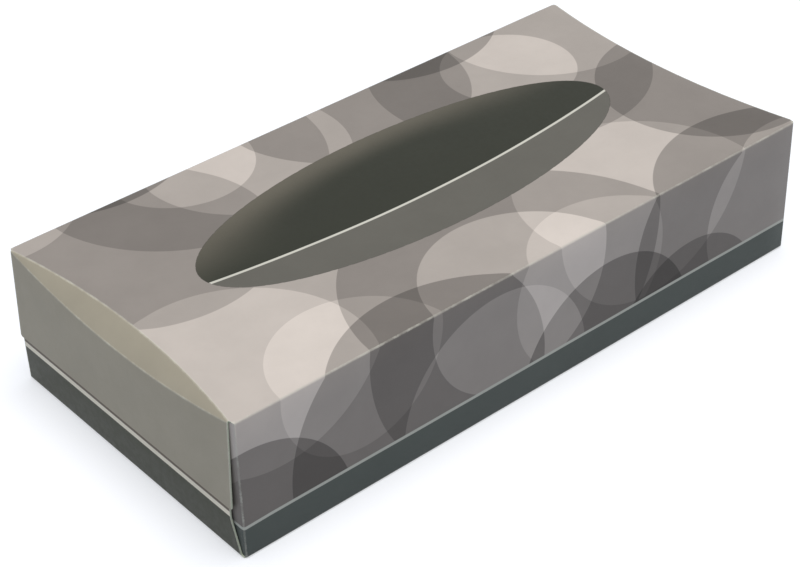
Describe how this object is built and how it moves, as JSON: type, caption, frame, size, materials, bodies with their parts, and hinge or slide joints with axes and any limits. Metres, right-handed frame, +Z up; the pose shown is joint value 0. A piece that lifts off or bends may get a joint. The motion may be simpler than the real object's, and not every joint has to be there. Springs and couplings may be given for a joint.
{
  "type": "tissue box",
  "caption": "Sealed flat carton of facial tissues with an oval perforated tear-out lid in the top, glued end flaps and a curved facet pressed along each end of the top.",
  "frame": {"origin": "middle of the base panel, on the surface that the carton stands on", "axes": "+X along the carton's length, +Y across its width, +Z up out of the oval lid"},
  "size_m": [0.2352, 0.115, 0.05],
  "materials": {
    "printed_board": "satin coated board, printed in overlapping greys"
  },
  "bodies": {
    "root": {"tissue_box": "printed_board"}
  },
  "joints": []
}
